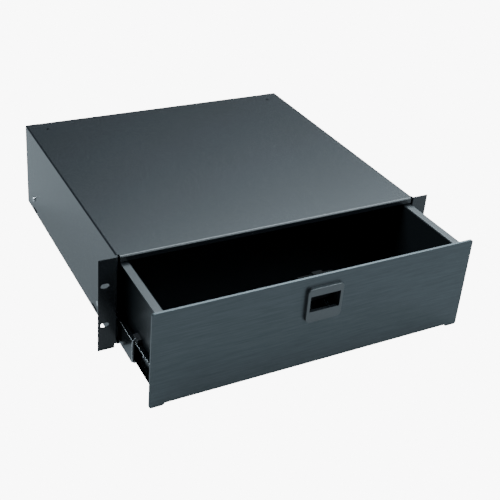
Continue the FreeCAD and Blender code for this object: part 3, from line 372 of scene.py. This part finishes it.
# %% Finishes of the slides and the hardware
finishes |= {
    "slide_steel": new_finish(
        "black_zinc_steel", grain, {"Grain Scale": 500.0, "Patch Scale": 30.0},
        tones=((0.045, 0.052, 0.058), (0.075, 0.085, 0.094)),
        gloss=(0.14, 0.24), bump=(0.05, 0.04 * mm), metallic=1.0),
    "cage_steel": new_finish(
        "bright_strip_steel", brushing, {"Stretch": (1500.0, 60.0, 1500.0)},
        tones=((0.30, 0.31, 0.33), (0.42, 0.43, 0.45)),
        gloss=(0.24, 0.36), bump=(0.10, 0.04 * mm), metallic=1.0),
    "ball_steel": new_finish(
        "polished_ball_steel", grain, {"Grain Scale": 300.0, "Patch Scale": 200.0},
        tones=((0.62, 0.63, 0.65), (0.70, 0.71, 0.73)),
        gloss=(0.05, 0.10), bump=(0.01, 0.02 * mm), metallic=1.0),
    "zinc_hardware": new_finish(
        "bright_zinc_plate", grain, {"Grain Scale": 700.0, "Patch Scale": 250.0},
        tones=((0.50, 0.52, 0.54), (0.63, 0.64, 0.66)),
        gloss=(0.18, 0.30), bump=(0.05, 0.04 * mm), metallic=1.0),
    "bright_steel": new_finish(
        "drawn_steel_wire", brushing, {"Stretch": (40.0, 1800.0, 1800.0)},
        tones=((0.40, 0.41, 0.42), (0.52, 0.53, 0.54)),
        gloss=(0.20, 0.32), bump=(0.08, 0.03 * mm), metallic=1.0),
}
print("with the slides and the hardware:", len(finishes), "finishes")

# %% Finishes of the plastic pieces
finishes |= {
    "latch_plastic": new_finish(
        "moulded_black_nylon", grain, {"Grain Scale": 2200.0, "Patch Scale": 60.0},
        tones=((0.010, 0.012, 0.014), (0.013, 0.016, 0.018)),
        gloss=(0.28, 0.36), bump=(0.12, 0.04 * mm), shine=1.0),
    # Near-black box: black nylon, darkened further as painted shade so that it sinks into the dark
    # inside the drawer.
    "box_plastic": new_finish(
        "box_nylon_with_painted_shade", grain, {"Grain Scale": 900.0, "Patch Scale": 60.0},
        tones=((0.002, 0.002, 0.002), (0.003, 0.003, 0.003)),
        gloss=(0.72, 0.85), bump=(0.30, 0.08 * mm), shine=0.08),
    "lever_plastic": new_finish(
        "lever_black_nylon", grain, {"Grain Scale": 2600.0, "Patch Scale": 80.0},
        tones=((0.004, 0.004, 0.005), (0.006, 0.006, 0.007)),
        gloss=(0.40, 0.50), bump=(0.15, 0.05 * mm)),
    # Near-black bolt: black acetal, darkened further as painted shade so that it sinks into the
    # dark inside the drawer.
    "bolt_plastic": new_finish(
        "bolt_acetal_with_painted_shade", grain, {"Grain Scale": 1800.0, "Patch Scale": 90.0},
        tones=((0.001, 0.001, 0.001), (0.002, 0.002, 0.002)),
        gloss=(0.70, 0.80), bump=(0.08, 0.04 * mm), shine=0.08),
    "stop_plastic": new_finish(
        "stop_black_acetal", grain, {"Grain Scale": 1600.0, "Patch Scale": 90.0},
        tones=((0.003, 0.003, 0.004), (0.005, 0.005, 0.006)),
        gloss=(0.42, 0.55), bump=(0.08, 0.04 * mm)),
}
print("with the plastics:", len(finishes), "finishes")

# %% Give each solid its finish
slot_of = {item["node"]: item["material_slot"] for item in frame["record"]["subparts"]}
for node, piece in nodes.items():
    piece.data.materials.clear()
    piece.data.materials.append(finishes[slot_of[node]])
print("finishes given to", len(nodes), "nodes")

# %% The floor's own finish
floor_glow = 0.38
floor_paint = new_finish(
    "pale_studio_floor", grain, {"Grain Scale": 60.0, "Patch Scale": 2.0},
    tones=((0.16, 0.165, 0.17), (0.18, 0.185, 0.19)),
    gloss=(0.75, 0.85), bump=(0.02, 0.1 * mm))
floor_tree = floor_paint.node_tree
floor_shader = floor_tree.nodes["Principled BSDF"]
floor_shader.inputs["Emission Color"].default_value = (*cool_white, 1)
floor_shader.inputs["Emission Strength"].default_value = floor_glow
white_when_seen(floor_tree, floor_shader.outputs["BSDF"], "ShaderNodeEmission",
                floor_tree.nodes["Material Output"])
floor.data.materials.append(floor_paint)
print("the floor glows with strength", floor_glow)

# %% [markdown]
# ## Rounded sheet-metal edges
#
# A sheared or machined edge is never perfectly sharp, and the thin bright line along it tells
# the eye how thick the metal is. The edges could be rounded in the CAD model, but thousands of
# tiny faces would slow everything that uses it. So a merged copy of each solid gets a Bevel
# modifier, and weighted normals keep its flat faces flat. The copy stands for the solid. On the
# On the rails the bevel and the cut ends have a second material: the bright steel under the
# plating, lightened further as a painted highlight.

# %% Join the loose triangles of a solid
weld = 0.001 * mm
flat_within = math.radians(0.5)


def merged_copy(node):
    """A bmesh of a CAD node with its loose triangles joined and its flat faces made whole."""
    mesh = bmesh.new()
    mesh.from_mesh(nodes[node].data)
    bmesh.ops.remove_doubles(mesh, verts=mesh.verts, dist=weld)
    bmesh.ops.dissolve_limit(mesh, angle_limit=flat_within, verts=mesh.verts,
                             edges=mesh.edges, delimit={"NORMAL"})
    return mesh


joined = merged_copy("front_panel")
print("front_panel:", len(nodes["front_panel"].data.vertices), "corners in all,",
      len(joined.verts), "once joined")
joined.free()

# %% Let a finished piece stand for its solid
body_of = {node: body for body, members in frame["record"]["behaviour"]["bodies"].items()
           for node in members}


def shade_smooth(piece):
    """Lets the light run over a piece's faces without steps."""
    for face in piece.data.polygons:
        face.use_smooth = True


def settle(piece, node, smooth_angle=40):
    """Gives a finished piece its material and body, and lets it stand for its CAD node."""
    piece.data.materials.append(finishes[slot_of[node]])
    shade_smooth(piece)
    piece.data.set_sharp_from_angle(angle=math.radians(smooth_angle))
    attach(piece, body_of[node])
    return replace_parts(piece, node)


print(len(body_of), "nodes know their body")

# %% Round the edges of the sheet metal and the rails
# Near-white edge colour: bare sheared steel, lightened further as a painted highlight on the
# rails.
bare_edge_and_highlight = new_finish(
    "sheared_edge_and_painted_highlight", grain, {"Grain Scale": 900.0, "Patch Scale": 120.0},
    tones=((0.78, 0.79, 0.80), (0.86, 0.87, 0.88)),
    gloss=(0.45, 0.55), bump=(0.05, 0.03 * mm), metallic=0.5)
faces_the_end = 0.9


def round_the_edges(node, radius, bare_and_highlit):
    """A copy of a CAD node whose raw edges are rounded, and on a rail made bright: bare steel with
    a painted highlight.
    """
    mesh = merged_copy(node)
    # The cut ends of a rail take the edge colour with its painted highlight.
    if bare_and_highlit:
        for face in mesh.faces:
            face.material_index = int(abs(face.normal.y) > faces_the_end)
    piece = new_piece(f"{node}_rounded", mesh)
    bevel = piece.modifiers.new("edges", "BEVEL")
    bevel.material = 1 if bare_and_highlit else -1
    bevel.width = radius
    bevel.segments = 2
    bevel.limit_method = "ANGLE"
    bevel.angle_limit = math.radians(50)
    weighted = piece.modifiers.new("normals", "WEIGHTED_NORMAL")
    weighted.keep_sharp = True
    weighted.weight = 60
    settle(piece, node)
    if bare_and_highlit:
        piece.data.materials.append(bare_edge_and_highlight)


edge_radii = {
    "case_wrap": 0.5, "rear_panel": 0.3, "drawer_tray": 0.3, "drawer_front_wall": 0.25,
    "drawer_rear_wall": 0.3, "front_panel": 0.3, "latch_bezel": 0.3, "latch_lever": 0.3,
    "latch_bolt": 0.3, "latch_box": 0.25,
}
for side in ("left", "right"):
    edge_radii.update({f"{side}_{part}": radius for part, radius in (
        ("outer_rail", 0.25), ("middle_rail", 0.4), ("inner_rail", 0.45),
        ("middle_bumper", 0.25), ("rear_stop", 0.4))})
for node, radius in edge_radii.items():
    round_the_edges(node, radius * mm, bare_and_highlit=node.endswith("_rail"))
print(len(edge_radii), "pieces have rounded edges")

# %% [markdown]
# ## Screws with a cross recess
#
# The slides hang on pan-head screws. The solid model turns each one as a plain outline, which is
# all that a collision needs. A screw is known by its cross recess, so each is made again: half
# an outline is spun into the head and thread, a cross is drawn in the open top, the ring round
# it is filled, and the cross is pushed down into the head. The case's screws end a tenth of a
# millimetre short of the ball cages, which slide past their tips at full travel.

# %% One screw
head_profile = ((0.5, 0.4), (0.45, 0.75), (0.38, 0.94), (0.29, 1))
cross_reach, cross_half_width, cross_depth, cross_taper = 0.24, 0.055, 0.6, 0.6
tip_chamfer = 0.3 * mm


def pan_head_screw(mesh, head, dome, thread, length):
    """Adds a screw along Z, with its head on z = 0, and returns its vertices."""
    before = set(mesh.verts)
    outline = [
        (0, -length), (thread / 2 - tip_chamfer, -length), (thread / 2, tip_chamfer - length),
        (thread / 2, 0), (head / 2, 0),
        *((head * across, dome * rise) for across, rise in head_profile),
    ]
    points = [mesh.verts.new((radius, 0, z)) for radius, z in outline]
    edges = [mesh.edges.new(pair) for pair in zip(points, points[1:])]
    bmesh.ops.spin(mesh, geom=points + edges, cent=(0, 0, 0), axis=(0, 0, 1),
                   angle=math.tau, steps=32, use_merge=True)
    made = [vert for vert in mesh.verts if vert not in before]
    bmesh.ops.remove_doubles(mesh, verts=made, dist=weld)
    ring = [edge for edge in mesh.edges if edge.is_boundary
            and all(vert not in before and abs(vert.co.z - dome) < 10 * weld
                    for vert in edge.verts)]
    reach, half = head * cross_reach, head * cross_half_width
    corners = [(reach, -half), (reach, half), (half, half)]
    cross = []
    for turn in range(4):
        spun = Matrix.Rotation(math.radians(90 * turn), 3, "Z")
        cross += [mesh.verts.new(spun @ Vector((x, y, dome))) for x, y in corners]
    rim = [mesh.edges.new(pair) for pair in zip(cross, cross[1:] + cross[:1])]
    bmesh.ops.triangle_fill(mesh, edges=ring + rim, use_beauty=True, normal=(0, 0, 1))
    sunk = bmesh.ops.extrude_edge_only(mesh, edges=rim)["geom"]
    low = [item for item in sunk if isinstance(item, bmesh.types.BMVert)]
    bmesh.ops.scale(mesh, verts=low, vec=(cross_taper, cross_taper, 1))
    bmesh.ops.translate(mesh, verts=low, vec=(0, 0, -dome * cross_depth))
    bmesh.ops.edgeloop_fill(mesh, edges=[
        edge for edge in sunk if isinstance(edge, bmesh.types.BMEdge)
        and all(vert in low for vert in edge.verts)])
    return [vert for vert in mesh.verts if vert not in before]


rail_head, rail_dome, rail_thread = 8 * mm, 2.4 * mm, 4 * mm
case_grip, drawer_grip = 2.9 * mm, 2.7 * mm
trial = bmesh.new()
corners = pan_head_screw(trial, rail_head, rail_dome, rail_thread, case_grip)
print("one screw has", len(corners), "corners")
trial.free()

# %% Drive the screws of the slides and the latch
def drive_screws(node, places, outwards, head, dome, thread, length):
    """Screws at the given places, their heads facing `outwards`, instead of a CAD node's."""
    mesh = bmesh.new()
    for place, way in zip(places, outwards):
        verts = pan_head_screw(mesh, head, dome, thread, length)
        turn = Vector((0, 0, 1)).rotation_difference(Vector(way)).to_matrix()
        bmesh.ops.rotate(mesh, verts=verts, cent=(0, 0, 0), matrix=turn)
        bmesh.ops.translate(mesh, verts=verts, vec=place)
    bmesh.ops.recalc_face_normals(mesh, faces=mesh.faces)
    piece = settle(new_piece(f"{node}_crossed", mesh), node, smooth_angle=35)
    print(node, len(places), "screws,", len(piece.data.polygons), "faces")


for node, length, facing in (("case_rail_screws", case_grip, 1),
                             ("drawer_rail_screws", drawer_grip, -1)):
    low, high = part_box(node)
    middle_z = (low.z + high.z) / 2
    seat = high.x - rail_dome if facing > 0 else high.x - length
    rows = [(side, y) for side in (-1, 1) for y in (low.y + rail_head / 2, high.y - rail_head / 2)]
    drive_screws(node, [(side * seat, y, middle_z) for side, y in rows],
                 [(side * facing, 0, 0) for side, y in rows],
                 rail_head, rail_dome, rail_thread, length)

low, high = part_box("latch_screws")
latch_head, latch_dome, latch_thread = 5 * mm, 1.6 * mm, 2.6 * mm
middle_z = (low.z + high.z) / 2
drive_screws("latch_screws", [(x, high.y - latch_dome, middle_z)
                              for x in (low.x + latch_head / 2, high.x - latch_head / 2)],
             [(0, 1, 0)] * 2, latch_head, latch_dome, latch_thread,
             high.y - latch_dome - low.y)

# %% [markdown]
# ## The spring of the latch
#
# A small compression spring pushes the bolt up. The solid model winds it from a six-sided wire
# to stay light, so a round wire is wound again here: a ring of points is spun about the coil's
# axis and lifted a little at every step. When the lever pulls the bolt down, the spring has to
# shorten; here the wound spring is only given a mesh of its own.

# %% Wind the spring
spring_wire, spring_turns, steps_a_turn = 0.6 * mm, 4, 28


def wind_spring(low, high):
    """A coil that fills the given box, wound from a round wire along Z."""
    middle = (low + high) / 2
    radius = (high.x - low.x) / 2 - spring_wire / 2
    mesh = bmesh.new()
    ring = bmesh.ops.create_circle(mesh, segments=10, radius=spring_wire / 2)["verts"]
    upright_ring = Matrix.Rotation(math.pi / 2, 3, "X")
    start = (middle.x + radius, middle.y, low.z + spring_wire / 2)
    bmesh.ops.rotate(mesh, verts=ring, cent=(0, 0, 0), matrix=upright_ring)
    bmesh.ops.translate(mesh, verts=ring, vec=start)
    first = list(mesh.edges)
    steps = spring_turns * steps_a_turn
    lift = (high.z - low.z - spring_wire) / steps
    last = bmesh.ops.spin(mesh, geom=ring + first, cent=(middle.x, middle.y, 0), axis=(0, 0, 1),
                          dvec=(0, 0, lift), angle=math.tau * spring_turns,
                          steps=steps)["geom_last"]
    for loop in (first, [item for item in last if isinstance(item, bmesh.types.BMEdge)]):
        bmesh.ops.edgeloop_fill(mesh, edges=loop)
    bmesh.ops.recalc_face_normals(mesh, faces=mesh.faces)
    return mesh


low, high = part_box("latch_spring")
spring = settle(new_piece("latch_spring_wound", wind_spring(low, high)), "latch_spring")
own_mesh(spring)

# %% [markdown]
# ## Balls in the empty seats
#
# Each row of a ball cage has four seats, and the solid model fills the two at its ends. A ball
# is a sphere and nothing else, so the rest are spheres too, put at even steps between the
# two that are there.

# %% Fill the middle seats
for side in ("left", "right"):
    for row in ("outer", "inner"):
        low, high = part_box(f"{side}_{row}_balls")
        ball_radius = (high.x - low.x) / 2
        first, last = low.y + ball_radius, high.y - ball_radius
        mesh = bmesh.new()
        for share in (1 / 3, 2 / 3):
            for z in (low.z + ball_radius, high.z - ball_radius):
                ball = bmesh.ops.create_uvsphere(mesh, u_segments=20, v_segments=12,
                                                 radius=ball_radius)["verts"]
                bmesh.ops.translate(mesh, verts=ball, vec=(
                    low.x + ball_radius, first + (last - first) * share, z))
        balls = new_piece(f"{side}_{row}_middle_balls", mesh)
        balls.data.materials.append(finishes["ball_steel"])
        shade_smooth(balls)
        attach(balls, f"{side}_{row}_cage")
        print(balls.name, len(balls.data.polygons), "faces")
